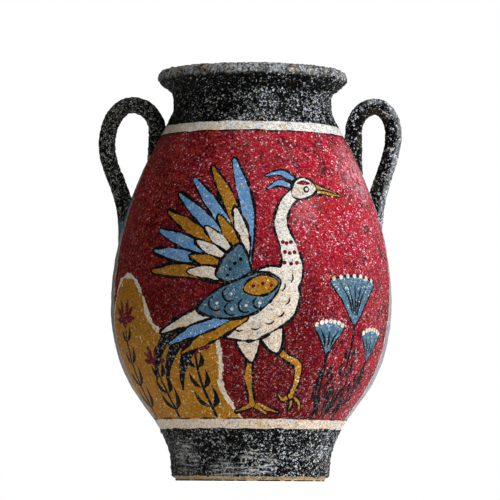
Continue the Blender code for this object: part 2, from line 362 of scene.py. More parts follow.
def crane(azimuth):
    picture.azimuth = azimuth
    # Raised far wing: long feathers, a shorter row over them, and the pale shoulder
    shoulder = (1.0, 92.0)
    roots = fan_tips(shoulder, (10, 10), 98, 172, 8)
    long_tips = fan_tips(shoulder, (61, 52), 98, 172, 8)
    colours = [SKY, OCHRE, SKY, SKY, OCHRE, SKY, SKY, OCHRE]
    feathers(roots, long_tips, colours, 0.06, [3, 5.4, 6.6, 6.2, 2.4])
    short_tips = fan_tips(shoulder, (37, 31), 102, 168, 6)
    colours = [CREAM, OCHRE, CREAM, CREAM, OCHRE, CREAM]
    feathers(roots[1:7], short_tips, colours, 0.05, [4, 6.4, 6.2, 2.6])
    fan = [shoulder, *fan_tips(shoulder, (20, 17), 104, 166, 5)]
    picture.outlined(BLUE, shape(*fan))
    for x, y in fan_tips(shoulder, (13, 12), 112, 158, 4):
        picture.paint(LINE, disc(x, y, 0.9))
    # Drooping tail plumes
    plumes = (
        [(-20, 79), (-37, 73), (-47, 60), (-50, 46)],
        [(-19, 76), (-33, 68), (-41, 55), (-42, 43)],
        [(-17, 72), (-28, 63), (-33, 52), (-33, 43)],
    )
    for plume in plumes:
        picture.paint(BLACK, stroke(plume, [5.5, 7.0, 5.0, 1.0]))
    # Legs: one stands, the other is lifted in the dance
    legs = (
        ([(0.6, 62), (0.3, 54.5), (0.0, 48.5), (0.8, 42), (1.8, 35.6)], [3.6, 2.8, 4.1, 2.6, 2.7]),
        ([(12, 64), (17.5, 58.6), (23.6, 54.8), (23.4, 48), (20.0, 39.6)], [4.0, 3.2, 4.2, 2.7, 2.7]),
    )
    toes = (
        [(1.6, 36.2), (7.5, 34.4), (14.2, 32.5)],
        [(1.6, 36.2), (5.0, 34.0), (8.2, 31.9)],
        [(1.8, 36.2), (-1.8, 34.3), (-6.2, 32.8)],
        [(20.0, 40.0), (24.4, 37.6), (24.8, 33.8)],
        [(20.0, 40.0), (20.6, 36.8), (19.4, 33.8)],
        [(20.0, 40.0), (16.2, 38.6), (14.2, 40.8)],
    )
    for toe in toes:
        picture.outlined(OCHRE, stroke(toe, [2.7, 2.1, 1.2]), width=0.9)
    for line, widths in legs:
        picture.outlined(OCHRE, stroke(line, widths), width=1.0)
    picture.outlined(CREAM, shape((-6, 72), (5, 72), (4.6, 62), (1.6, 55.5), (-2.4, 59), (-5.6, 65)))
    picture.outlined(CREAM, shape((4, 72), (15, 74), (16.4, 66), (14, 60), (10.4, 61), (6, 66)))
    # Body and neck
    neck = stroke([(14, 88), (20.5, 100), (18.5, 111), (15, 121), (17.5, 131), (24.5, 138)],
                  [17, 12.5, 8.2, 6.6, 6.0, 6.4])
    body = shape((11, 70), (21, 77), (24.5, 87), (21, 97), (11, 101), (0, 97), (-12, 90), (-23, 82),
                 (-29, 75), (-21, 70), (-8, 66.5), (3, 66))
    for outline in (neck, body):
        picture.paint(LINE, grown(outline, 0.7 * pressure(outline)))
    for outline in (body, neck):
        picture.paint(CREAM, grown(outline, -0.5 * pressure(outline)))
    ticks = ((16.5, 91, 70), (18.6, 84.5, 60), (15.4, 78.2, 40), (10.2, 74.4, 20), (3.4, 71.6, 8),
             (-4.6, 70.8, -4), (-12.6, 72.4, -16), (20.4, 95.4, 84))
    for x, y, turn in ticks:
        a = math.radians(turn)
        ahead = np.array((math.cos(a), math.sin(a)))
        middle = np.array((x, y)) + 0.7 * np.array((ahead[1], -ahead[0]))
        tick = [(x, y) - 2.0 * ahead, middle, (x, y) + 2.0 * ahead]
        picture.paint(LINE, stroke(tick, [0.5, 0.95, 0.4]))
    # Head
    bill = shape((30.5, 141), (38, 139.6), (49, 135.6), (38, 136.2), (30.8, 136.4))
    picture.outlined(OCHRE, bill, width=1.0)
    picture.paint(LINE, stroke([(32, 138.4), (40, 137.8), (46, 136.4)], [0.9, 0.8, 0.3]))
    for plume in ([(23, 141.5), (15, 146), (7.5, 144.5)], [(21.5, 139), (14, 141), (8.5, 138.2)]):
        picture.outlined(SKY, stroke(plume, [2.6, 3.2, 1.0]), width=0.9)
    picture.outlined(CREAM, shape((20.6, 135), (25, 133.4), (30.4, 135.2), (33.4, 138.4), (31, 142),
                                  (26, 144), (21.4, 141.8)))
    picture.paint(MAROON, shape((22.4, 141), (26, 142.7), (30, 141.3), (28.4, 140.6), (25, 140.4)))
    picture.paint(LINE, disc(27.8, 138.3, 1.7))
    picture.paint(CREAM, disc(28.0, 138.4, 0.85))
    # Collar of red beads, as three short rows
    for row, (x, y, reach) in enumerate(((18.0, 112.0, 3.2), (19.4, 107.4, 3.9), (20.0, 102.6, 4.9))):
        for k in range(-1, 2):
            picture.paint(MAROON, disc(x + k * reach * 0.62, y + 0.5 * k * k - row * 0.2, 1.05))
    # Near wing, folded over the back
    flights = (
        (OCHRE, [(-2, 78), (-17, 69), (-33, 60)]),
        (SKY, [(-4, 81), (-21, 73), (-40, 64.5)]),
        (CREAM, [(-6, 84.5), (-24, 78), (-45, 70)]),
    )
    for colour, line in flights:
        picture.outlined(colour, stroke(line, [6, 7.2, 5.6, 1.6]), width=1.1)
    picture.outlined(BLUE, shape((15, 94), (7, 98), (-5, 94.5), (-17, 88.5), (-25, 80.5), (-15, 76.5),
                                 (-2, 77), (9, 83)))
    scales = ((-15.5, 83.4, 3.6), (-8.4, 80.6, 3.0), (-9.0, 87.6, 3.4), (-1.6, 82.2, 3.3),
              (4.8, 83.4, 2.6))
    for x, y, reach in scales:
        turns = np.radians(np.linspace(118, 300, 6))
        arc = [polar(x, y, reach, a) for a in turns]
        picture.paint(LINE, stroke(arc, [0.7, 1.15, 0.7]))
        picture.paint(CREAM, disc(x + 0.5, y, 0.75))
    patch = shape((14, 93.5), (7.5, 96.8), (0, 94), (-2.4, 89.5), (3.4, 87), (10.4, 88.6))
    picture.outlined(OCHRE, patch, width=1.0)
    for x, y in ((2.2, 91.4), (6.6, 92.6), (10.6, 91.8)):
        picture.paint(MAROON, disc(x, y, 0.95))


def reeds(x, height, blades):
    """Black blades that rise side by side from the ground."""
    for k in range(blades):
        side = k - (blades - 1) / 2
        tip = (x + side * 6.2, GROUND + height * (1 - 0.10 * abs(side) ** 1.5))
        picture.paint(LINE, leaf((x + side * 2.9, GROUND + 0.7), tip, 0.06 * side, 3.0))


def leafy_stem(x, height, lean, pairs, reach=8.0):
    """A stem with blades in pairs. Gives the place of its top."""
    base, top = (x, GROUND + 0.3), (x + lean, GROUND + height)
    picture.paint(LINE, stroke([base, (x + lean * 0.3, GROUND + height * 0.5), top], [1.7, 1.3, 1.1]))
    for k in range(pairs):
        share = (k + 0.35) / (pairs + 0.3)
        root = np.array((x + lean * share * share, GROUND + height * share))
        for side in (-1, 1):
            length = reach * (1.12 - 0.5 * share)
            tip = root + (side * length * 0.62, length * (1.15 + 0.12 * side))
            picture.paint(LINE, leaf(root + (side * 0.9, 0.9), tip, 0.16 * side, 2.7))
    return top


def palmette(top, size, paint):
    """A fan of petals on a small cup."""
    x, y = top
    for turn in (-78, -48, -20, 20, 48, 78):
        angle = math.radians(90 + turn)
        reach = size * (1.0 - 0.22 * abs(turn) / 78)
        tip = polar(x, y, reach, angle)
        middle = (x * 0.45 + tip[0] * 0.55, y * 0.45 + tip[1] * 0.55)
        petal = [(x + math.cos(angle), y + 0.6), middle, tip]
        picture.paint(paint, stroke(petal, [1.2, size * 0.20, size * 0.27, 1.0]))
    picture.paint(paint, disc(x, y + 0.2, size * 0.22))


def papyrus(x, base, height, spread, bend=0.0):
    """A fan-shaped papyrus head on a stem with blades, and drops along its rim."""
    top = base + height
    stem = np.array([(x - bend, GROUND), (x - bend * 0.4, (GROUND + base) / 2), (x, base + 2)])
    picture.paint(LINE, stroke(stem, [1.5, 1.3, 1.9]))
    for k, share in enumerate((0.24, 0.44, 0.62)):
        here = GROUND + share * (base - GROUND)
        root = np.array((np.interp(here, stem[:, 1], stem[:, 0]), here))
        for side in (-1, 1):
            tip = root + (side * (4.6 - k), 8.6 - k + 0.8 * side)
            picture.paint(LINE, leaf(root + (side * 1.1, 0), tip, 0.14 * side, 2.5))
    rim = [(x + spread * s, top + 2.4 * (1 - s * s)) for s in np.linspace(1, -1, 9)]
    cup = [(x + spread * s, base + height * rise) for s, rise in
           ((-0.50, 0.50), (-0.20, 0.16), (0, 0), (0.20, 0.16), (0.50, 0.50))]
    head = shape(*rim, *cup)
    picture.paint(LINE, grown(head, 0.55))
    picture.paint(BLUE, grown(head, -0.35))
    for s in np.linspace(-0.72, 0.72, 5 if spread > 10 else 3):
        foot, tip = (x + s * 2, base + height * 0.24), (x + spread * s * 0.84, top - 1.4)
        picture.paint(LINE, leaf(foot, tip, -0.10 * s, 1.3))
    for s in np.linspace(-0.86, 0.86, 7):
        picture.paint(CREAM, disc(x + spread * s, top + 2.4 * (1 - s * s) + 0.2, 1.15))


def mound(azimuth):
    picture.azimuth = azimuth
    hill = shape((-42, 28), (-43, 60), (-38, 84), (-29, 96), (-18, 97), (-9, 88), (-4, 76), (3, 70),
                 (11, 70), (19, 77), (27, 78), (32, 70), (32, 56), (28, 44), (29, 34), (30, 28))
    pressed = pressure(hill)
    picture.paint(CREAM, grown(hill, 1.1 * pressed))
    picture.paint(OCHRE, grown(hill, -0.9 * pressed))
    plants = ((-24, 45, -1, 4, 12.0), (-3, 25, -2.0, 3, 9.0), (18.5, 31, 2.0, 3, 10.0))
    for x, height, lean, pairs, size in plants:
        palmette(leafy_stem(x, height, lean, pairs), size, MAROON)


def blue_papyrus(azimuth):
    picture.azimuth = azimuth
    reeds(0.0, 14, 4)
    papyrus(-14.5, 60, 13, 8.6, bend=-8)
    papyrus(15.5, 57, 13, 8.6, bend=8)
    papyrus(0.5, 74, 21, 15.5)


def running_scroll(azimuth, mirror):
    """One wave of a running scroll, with its tail towards the wave before it."""
    picture.azimuth = azimuth
    z = 131.0
    share = np.linspace(0, 1, 17)
    angle, reach = math.radians(-105) + share * 1.3 * math.tau, 6.6 * (1 - 0.76 * share)
    wave = np.column_stack([reach * np.cos(angle), z + reach * np.sin(angle)])
    tail = [(-13.5, z + 3.4), (-10.6, z - 2.6), (-5.8, z - 6.4)]
    line = np.vstack([tail, wave]) * (mirror, 1)
    picture.paint(CREAM, stroke(line, [0.7, 1.7, 2.1, 2.0, 1.8, 1.5, 1.1]))
    picture.paint(OCHRE, disc(0, z, 1.15))


def back_panel():
    """Plainer work on the side that the photograph doesn't show: plants under a running
    scroll."""
    for k in range(4):
        for mirror in (-1, 1):
            running_scroll(180 + mirror * (9.0 + 16.4 * k), mirror)
    for mirror in (-1, 1):
        picture.azimuth = 180 + 41 * mirror
        palmette(leafy_stem(0, 46, 1.5 * mirror, 4), 11.0, CREAM)
        picture.azimuth = 180 + 27 * mirror
        palmette(leafy_stem(0, 30, -1.0 * mirror, 3), 8.5, OCHRE)
    blue_papyrus(180.0)


def side_panels():
    """Grey panels with thin cream edges under the handles, blue where the roots are pressed on."""
    for azimuth, outline in PANELS.items():
        levels, halves = np.array(outline, float).T
        for colour, cap in ((CREAM, 0.0), *PANEL_FIELDS):
            inset = PANEL_EDGE if cap else 0.0
            count = round((levels[-1] - levels[0]) / EDGE_STEP)
            heights = np.linspace(levels[0], levels[-1] - cap, count)
            half = np.radians(np.interp(heights, levels, halves)) - inset / profile.wall_radius(heights)
            along = profile.outside(heights)
            middle = math.radians(azimuth)
            left = np.column_stack([(middle - half) * BELLY, along])
            right = np.column_stack([(middle + half) * BELLY, along])[::-1]
            arch = np.linspace(left[-1], right[0], ARCH_POINTS)
            rise = 0.25 * math.dist(left[-1], right[0])
            arch[:, 1] += rise * np.sin(np.linspace(0, math.pi, ARCH_POINTS))
            picture.add(colour, wavered(np.vstack([left, arch[1:-1], right])))


def broken_line(height, widths, gaps, rng):
    """A thin line right round the vase that the brush drew in uneven stretches."""
    start, end = -178.0, 178.0
    while start < end - 6:
        length = min(rng.uniform(5, 17), end - start)
        picture.azimuth = start + length / 2
        reach = math.radians(length / 2) * profile.wall_radius(height)
        line = [(-reach, height), (0, height + rng.uniform(-0.2, 0.2)), (reach, height)]
        picture.paint(LINE, stroke(line, [0.4, *rng.uniform(*widths, 6), 0.4]))
        start += length + rng.uniform(*gaps)


def bands():
    rng = np.random.default_rng(5)
    broken_line(LOWER_BAND[1] + 0.3, (0.3, 0.9), (1, 9), rng)
    broken_line(UPPER_BAND[0] - 0.35, (0.4, 1.5), (0.4, 2.6), rng)
    picture.ring(CREAM, *LOWER_BAND)
    picture.ring(CREAM, *UPPER_BAND)
    picture.ring(BLACK, CLAY_EDGE + 1.5, LOWER_BAND[0], depth=0.3)
    picture.ring(BLACK, UPPER_BAND[1], NECK_TOP - 3, depth=0.2)


mound(-42.0)
blue_papyrus(46.0)
crane(-1.0)
back_panel()
side_panels()
bands()


# Handles


class Handle(NamedTuple):
    """A coil's centre line in the XZ plane, by radius and height."""

    side: int
    leg_meets: float  # height at which the leg comes out of the shoulder
    span: float  # leg to widest point
    crest_share: float
    widest: float
    root_sink: float


HANDLES = (
    Handle(side=-1, leg_meets=164.4, span=24.3, crest_share=0.50, widest=163.4, root_sink=4.6),
    Handle(side=1, leg_meets=158.7, span=19.4, crest_share=0.54, widest=168.9, root_sink=6.3),
)
HANDLE_RADIUS = 4.05
BLACK_ENDS = 125.5  # under this height a coil's end has the blue of the panel behind it
LEG_END = 140.0  # inside the wall, where the coil isn't made
LEG_TOP = 170.9
CREST = 183.0
ROOT = 115.6
ROOT_PULLS = (14.0, 28.0)
ROOT_TAIL = (-4.0, -9.0)  # the buried end runs on into the wall
ELLIPSE_PULL = 0.5523  # pull that makes a cubic follow a quarter ellipse
LINE_POINTS = 900
FLARE = 0.12  # how much thicker a coil gets where it is pressed onto the wall
FLARE_REACH = 2.6
SMEAR, SMEAR_WAVER = 1.1, 0.5  # how far slip runs over onto the wall round a weld
RAGGED, RAGGED_WIDTH = 1.2, 2.5  # unevenness of the black slip's end on a coil


def cubic(a, b, c, d):
    t = np.linspace(0, 1, 60)[:, None]
    s = 1 - t
    a, b, c, d = (np.array(p, float) for p in (a, b, c, d))
    return a * s**3 + b * 3 * s * s * t + c * 3 * s * t * t + d * t**3


def handle_line(handle):
    """The coil's centre line, as radii and heights, from inside the shoulder to inside the wall."""
    leg = profile.wall_radius(handle.leg_meets)
    reach = leg + handle.span
    crest_x = leg + handle.crest_share * handle.span
    root = (profile.wall_radius(ROOT) - handle.root_sink, ROOT)
    rise, fall = ELLIPSE_PULL * (CREST - LEG_TOP), ELLIPSE_PULL * (CREST - handle.widest)
    crest, widest = (crest_x, CREST), (reach, handle.widest)
    crest_in = (crest_x - ELLIPSE_PULL * (crest_x - leg), CREST)
    crest_out = (crest_x + ELLIPSE_PULL * (reach - crest_x), CREST)
    inner = cubic((leg, LEG_TOP), (leg, LEG_TOP + rise), crest_in, crest)
    outer = cubic(crest, crest_out, (reach, handle.widest + fall), widest)
    down = cubic(widest, (reach, handle.widest - ROOT_PULLS[0]), (root[0], ROOT + ROOT_PULLS[1]), root)
    tail = np.add(root, ROOT_TAIL)
    return sampled(np.vstack([[(leg, LEG_END)], inner, outer[1:], down[1:], [tail]]), LINE_POINTS)


def coil(handle):
    """Rows of points round the coil, from the weld at its leg to the weld at its root. The
    first and last rows lie on the wall. Also gives each point's place round and along."""
    line = handle_line(handle)
    along = np.gradient(line, axis=0)
    along /= np.linalg.norm(along, axis=1)[:, None]
    turns = np.arange(HANDLE_SIDES) * math.tau / HANDLE_SIDES
    out, across = np.cos(turns), np.sin(turns)

    def places(radius):
        x = line[:, :1] + along[:, 1:] * radius * out
        z = line[:, 1:] - along[:, :1] * radius * out
        y = radius * across + np.zeros_like(x)
        return x, y, z, np.hypot(x, y) - profile.wall_radius(z)

    clear = places(HANDLE_RADIUS)[3]
    flare = 1 + FLARE * np.exp(-np.maximum(clear, 0) / FLARE_REACH)
    x, y, z, clear = places(HANDLE_RADIUS * flare)
    middle = len(line) // 2
    rows = np.arange(len(line))
    starts, ends = [], []
    for k in range(HANDLE_SIDES):
        buried = rows[clear[:, k] < 0]
        low = buried[buried < middle].max()
        high = buried[buried > middle].min()
        starts.append(low + clear[low, k] / (clear[low, k] - clear[low + 1, k]))
        ends.append(high - clear[high, k] / (clear[high, k] - clear[high - 1, k]))
    share = np.linspace(0, 1, HANDLE_ROWS)[:, None]
    places_along = np.array(starts) + share * (np.array(ends) - np.array(starts))
    made = np.empty((HANDLE_ROWS, HANDLE_SIDES, 3))
    for number, axis in enumerate((x, y, z)):
        for k in range(HANDLE_SIDES):
            made[:, k, number] = np.interp(places_along[:, k], rows, axis[:, k])
    return made * (handle.side, 1, 1), places_along * math.dist(line[0], line[1])


def weld_on_plan(row):
    """A row of points on the wall as an outline on the plan, all on one side of the seam."""
    turn = np.arctan2(row[:, 0], -row[:, 1])
    return np.column_stack([turn * BELLY, profile.outside(row[:, 2])])


# Vase mesh


class MeshParts:
    """Points, faces, paints and map places, gathered before the mesh is made."""

    def __init__(self):
        self.points, self.faces, self.paints, self.map = [], [], [], []
        self.coils = range(0)  # the points of the handles

    def add_points(self, points):
        first = len(self.points)
        self.points.extend(map(tuple, points))
        return list(range(first, len(self.points)))

    def add_face(self, corners, places, paint):
        if len(set(corners)) < len(corners):
            kept = [i for i, c in enumerate(corners) if c not in corners[:i]]
            corners, places = [corners[i] for i in kept], [places[i] for i in kept]
        self.faces.append(corners)
        self.map.append(places)
        self.paints.append(paint)


def inside_outline(points, outline):
    """Which points lie inside a closed outline."""
    low, high = outline.min(0), outline.max(0)
    near = np.nonzero(((points > low) & (points < high)).all(axis=1))[0]
    x, y = points[near].T
    odd = np.zeros(len(near), bool)
    for (x0, y0), (x1, y1) in zip(outline, np.roll(outline, -1, axis=0)):
        if y0 != y1:
            crosses = (y0 > y) != (y1 > y)
            odd ^= crosses & (x < x0 + (y - y0) / (y1 - y0) * (x1 - x0))
    found = np.zeros(len(points), bool)
    found[near[odd]] = True
    return found


def wall_points(outlines, smears, welds, low_row, high_row):
    """The plan's points and edges: both end rows, the seam, the outlines, and a grid. An
    outline that runs under the smeared slip round a weld stops there."""
    points, edges = [], []

    def add_line(line, closed):
        first = len(points)
        points.extend(Vector(p) for p in line)
        last = len(points) - 1
        edges.extend((i, i + 1) for i in range(first, last))
        if closed:
            edges.append((last, first))

    for row in (low_row, high_row):
        add_line(row, False)
    for outline in [*smears, *welds]:
        add_line(outline, True)
    for outline in outlines:
        kept = np.ones(len(outline), bool)
        for smear in smears:
            kept &= ~inside_outline(outline, smear)
        starts = np.nonzero(~kept)[0]
        if len(starts):
            outline, kept = np.roll(outline, -starts[0], axis=0), np.roll(kept, -starts[0])
            for run in np.split(np.arange(len(outline)), np.nonzero(np.diff(kept))[0] + 1):
                if kept[run[0]] and len(run) > 1:
                    add_line(outline[run], False)
        else:
            add_line(outline, True)
    taken = kdtree.KDTree(len(points))
    for i, p in enumerate(points):
        taken.insert((p.x, p.y, 0), i)
    taken.balance()

    row_count = round((profile.neck - profile.foot) / (WALL_STEP * ROW_SHARE))
    for j, along in enumerate(np.linspace(profile.foot, profile.neck, row_count + 1)[1:-1]):
        radius = profile.at(along)[0]
        count = round(math.tau * radius / WALL_STEP)
        across = PLAN_WIDTH / count
        line = -SEAM + (np.arange(count) + 0.5 * (j % 2)) * across
        for u in line:
            near_seam = SEAM - abs(u) < across * 0.4
            if not near_seam and taken.find((u, along, 0))[2] > EDGE_CLEARANCE * BELLY / radius:
                points.append(Vector((u, along)))
        points.extend((Vector((-SEAM, along)), Vector((SEAM, along))))
    return points, edges


def wall_paints(centres, smeared):
    """The paint of each triangle of the plan, by what lies highest over its middle."""
    along = centres[:, 1]
    paints = np.full(len(centres), RED)
    paints[along > profile.outside(UPPER_BAND[1] + SLIP_MARGIN)] = BLACK
    paints[along < profile.outside(LOWER_BAND[0] - SLIP_MARGIN)] = BLACK
    for colour, outline in picture.layers:
        paints[inside_outline(centres, outline)] = colour
    black = along > profile.outside(BLACK_ENDS)
    for outline in smeared:
        inside = inside_outline(centres, outline)
        paints[inside] = np.where(black[inside], BLACK, BLUE)
    return paints


def add_wall(parts, foot_ring, neck_ring, welds):
    """The painted wall from the foot's chamfer to the neck, with the handles' welds open."""
    turns = np.linspace(-SEAM, SEAM, RIM_TURNS + 1)
    low_row, high_row = (np.column_stack([turns, np.full_like(turns, along)])
                         for along in (profile.foot, profile.neck))
    weld_lines = [weld_on_plan(row) for row, _ in welds]
    smeared = smears(welds)
    drawn = [outline for _, outline in picture.layers]
    points, edges = wall_points(drawn, smeared, weld_lines, low_row, high_row)
    flat, _, triangles, _, _, _ = delaunay_2d_cdt(points, edges, [], 0, 1e-5, False)
    plan = np.array([tuple(p) for p in flat])
    triangles = np.array(triangles)
    centres = plan[triangles].mean(axis=1)
    holes = np.zeros(len(triangles), bool)
    for outline in weld_lines:
        holes |= inside_outline(centres, outline)
    paints = wall_paints(centres, smeared)

    # Points of the end rows and the welds are those that the rings and the coils have
    rims = [(low_row, [*foot_ring, foot_ring[0]]), (high_row, [*neck_ring, neck_ring[0]])]
    rims += [(line, ring) for line, (_, ring) in zip(weld_lines, welds)]
    shared = kdtree.KDTree(sum(len(line) for line, _ in rims))
    owners = []
    for line, ring in rims:
        for place, owner in zip(line, ring):
            shared.insert((*place, 0), len(owners))
            owners.append(owner)
    shared.balance()
    seam_ends = [np.nonzero(side * plan[:, 0] > SEAM - SAME_POINT)[0] for side in (-1, 1)]
    left, right = (ends[np.argsort(plan[ends, 1])] for ends in seam_ends)
    across_seam = dict(zip(right, left))
    index = {}
    for i in sorted(range(len(plan)), key=across_seam.__contains__):
        u, along = plan[i]
        _, found, distance = shared.find((u, along, 0))
        if distance < SAME_POINT:
            index[i] = owners[found]
        elif i in across_seam:
            index[i] = index[across_seam[i]]
        else:
            radius, height = profile.at(along)
            turn = u / BELLY
            index[i] = parts.add_points([(radius * math.sin(turn), -radius * math.cos(turn), height)])[0]
    for face, paint in zip(triangles[~holes], paints[~holes]):
        parts.add_face([index[i] for i in face], [tuple(plan[i]) for i in face], int(paint))


def add_ring(parts, radius, height):
    turns = np.linspace(-math.pi, math.pi, RIM_TURNS + 1)[:-1]
    x, y = radius * np.sin(turns), -radius * np.cos(turns)
    return parts.add_points(np.column_stack([x, y, np.full_like(turns, height)]))


def join_rings(parts, low, low_along, high, high_along, paint):
    """Faces between two rings. Where paint is a function, it gives the paint by place."""
    width = PLAN_WIDTH / RIM_TURNS
    for i in range(RIM_TURNS):
        j = (i + 1) % RIM_TURNS
        left, right = -SEAM + i * width, -SEAM + (i + 1) * width
        places = [(left, low_along), (right, low_along), (right, high_along), (left, high_along)]
        chosen = paint
        if callable(paint):
            chosen = paint(math.tau * i / RIM_TURNS, (low_along + high_along) / 2)
        parts.add_face([low[i], low[j], high[j], high[i]], places, chosen)


def add_turned(parts, ring, stretches):
    """Rings along the profile, from a first ring through stretches of start, end, step and
    paint. Gives the last ring."""
    for start, end, step, paint in stretches:
        stops = np.linspace(start, end, max(1, round(abs(end - start) / step)) + 1)
        for before, after in zip(stops, stops[1:]):
            made = add_ring(parts, *profile.at(after))
            join_rings(parts, ring, before, made, after, paint)
            ring = made
    return ring


def close_to_axis(parts, ring, along, direction, paint):
    """A flat disc from a ring in to the axis."""
    whole, height = profile.at(along)
    radius = whole
    for share in DISC_RINGS:
        inner = whole * share
        after = add_ring(parts, inner, height)
        after_along = along + direction * (radius - inner)
        join_rings(parts, ring, along, after, after_along, paint)
        ring, along, radius = after, after_along, inner
    centre = parts.add_points([(0, 0, height)])[0]
    width = PLAN_WIDTH / RIM_TURNS
    for i in range(RIM_TURNS):
        left = -SEAM + i * width
        places = [(left, along), (left + width, along), (left + width / 2, along + direction * radius)]
        parts.add_face([ring[i], ring[(i + 1) % RIM_TURNS], centre], places, paint)


def foot_paint(turn, along):
    """Slip runs down over the chamfer to an uneven edge, and the clay's lowest rim is dark."""
    height = profile.at(along)[1]
    place = Vector((math.cos(turn) * 5, math.sin(turn) * 5, 0))
    if height > SLIP_EDGE + 0.8 * noise.noise(place) + 0.4 * noise.noise(place * 4):
        return BLACK
    return LINE if height < DARK_RIM and noise.noise(place * 2.5) > -0.2 else CLAY


def add_turned_ends(parts):
    """The foot ring and underside, and the lip and the inside, as rings. Gives the two rings
    that the painted wall runs between."""
    foot_line = profile.line[: np.searchsorted(profile.along, profile.foot) + 1]
    edges = [profile.foot]
    for corner in FOOT_CORNERS:
        edges.append(profile.along[np.argmin(np.hypot(*(foot_line - corner).T))])
    steps = (FOOT_STEP, FOOT_STEP, INSIDE_STEP, INSIDE_STEP)
    foot_ring = add_ring(parts, *profile.at(profile.foot))
    last = add_turned(parts, foot_ring, [(*ends, foot_paint) for ends in zip(edges, edges[1:], steps)])
    close_to_axis(parts, last, edges[-1], -1, CLAY)

    unpainted = profile.line[:, 1] < profile.line[:, 1].max() - PAINTED_MOUTH_DEPTH
    painted_end = profile.along[np.argmax((profile.along > profile.top) & unpainted)]
    neck_ring = add_ring(parts, *profile.at(profile.neck))
    last = add_turned(parts, neck_ring, [
        (profile.neck, profile.top, RIM_STEP, BLACK),
        (profile.top, painted_end, RIM_STEP, BLACK),
        (painted_end, profile.end, INSIDE_STEP, CLAY),
    ])
    close_to_axis(parts, last, profile.end, 1, CLAY)
    return foot_ring, neck_ring


def add_handles(parts):
    """Both coils. Gives each weld as its row of points and their indices."""
    welds = []
    first = len(parts.points)
    for number, handle in enumerate(HANDLES):
        rows, along = coil(handle)
        rings = [parts.add_points(row) for row in rows]
        offset = SEAM + COIL_MAP_GAP + number * HANDLE_SIDES
        for j in range(HANDLE_ROWS - 1):
            for k in range(HANDLE_SIDES):
                around = ((j, k), (j, k + 1), (j + 1, k + 1), (j + 1, k))
                corners = [rings[a][b % HANDLE_SIDES] for a, b in around]
                places = [(offset + b, along[a, b % HANDLE_SIDES]) for a, b in around]
                height = sum(parts.points[corner][2] for corner in corners) / 4
                ragged = RAGGED * noise.noise(Vector(parts.points[corners[0]]) / RAGGED_WIDTH)
                parts.add_face(corners, places, BLACK if height > BLACK_ENDS + ragged else BLUE)
        welds += [(rows[0], rings[0]), (rows[-1], rings[-1])]
    parts.coils = range(first, len(parts.points))
    return welds


def smears(welds):
    """Outlines of the slip that runs over onto the wall round each weld."""
    return [wavered(grown(weld_on_plan(row), SMEAR), SMEAR_WAVER) for row, _ in welds]


def rough_depth(place, painted, coiled):
    """How far the surface lies under its true place, in millimetres."""
    p = Vector(place)
    sand = noise.noise(p / FINE_SAND) + 0.5 * noise.noise(p / COARSE_SAND)
    depth = HAND_WAVE * noise.noise(p / HAND_WAVE_WIDTH) + LUMPS * noise.noise(p / LUMP_WIDTH)
    depth += SAND * sand * (PAINTED_SAND if painted else 1) / 1.5
    if coiled:
        return depth * COILED_SHARE
    if not painted:
        depth += THROWING_LINES * 0.5 * math.sin(place[2] * LINE_TURN + 2 * noise.noise(p / 30))
    return depth


def add_map(mesh, places):
    """The map of the unrolled surface, scaled into one square."""
    places = np.array([place for face in places for place in face])
    places = (places - places.min(axis=0)) / np.ptp(places, axis=0).max()
    mesh.uv_layers.new(name="OFBake").data.foreach_set("uv", places.astype(np.float32).ravel())


def roughen(made, coils):
    """Moves the points of a bmesh inwards by the surface's unevenness."""
    pictured = [f for f in made.faces if f.material_index not in (BLACK, CLAY)]
    picture_faces = {v.index for f in pictured for v in f.verts}
    made.normal_update()
    normals = [v.normal.copy() for v in made.verts]
    for v, normal in zip(made.verts, normals):
        place = tuple(v.co / MM)
        coiled = v.index in coils
        inset = 0.0 if coiled else WALL_INSET
        level = min(1.0, max(0.0, place[2] / LEVEL_FOOT))
        v.co -= normal * (rough_depth(place, v.index in picture_faces, coiled) + inset) * level * MM
        v.co = [min(max(c, low), high) for c, low, high in zip(v.co, cad_low, cad_high)]


def make_vase():
    parts = MeshParts()
    foot_ring, neck_ring = add_turned_ends(parts)
    welds = add_handles(parts)
    add_wall(parts, foot_ring, neck_ring, welds)
    mesh = bpy.data.meshes.new("painted_vase")
    mesh.from_pydata([tuple(c * MM for c in p) for p in parts.points], [], parts.faces)
    mesh.polygons.foreach_set("material_index", parts.paints)
    add_map(mesh, parts.map)
    made = bmesh.new()
    made.from_mesh(mesh)
    bmesh.ops.recalc_face_normals(made, faces=made.faces)
    roughen(made, parts.coils)
    for face in made.faces:
        face.smooth = True
    made.to_mesh(mesh)
    made.free()
    turns = np.arange(len(parts.coils)) % HANDLE_SIDES * math.tau / HANDLE_SIDES
    for name, values in (("coiled", 1.0), ("towards_gap", np.cos(turns))):
        whole = np.zeros(len(parts.points), np.float32)
        whole[parts.coils.start : parts.coils.stop] = values
        mesh.attributes.new(name, "FLOAT", "POINT").data.foreach_set("value", whole)
    vase = bpy.data.objects.new("painted_vase", mesh)
    bpy.context.scene.collection.objects.link(vase)
    return vase


# Paints


class Number:
    """A node's output that takes part in sums. Each sum adds a Math node."""

    def __init__(self, tree, socket):
        self.tree, self.socket = tree, socket

    def __add__(self, other):
        return self.tree.math("ADD", self, other)

    def __sub__(self, other):
        return self.tree.math("SUBTRACT", self, other)

    def __rsub__(self, other):
        return self.tree.math("SUBTRACT", other, self)

    def __mul__(self, other):
        return self.tree.math("MULTIPLY", self, other)

    __radd__, __rmul__ = __add__, __mul__


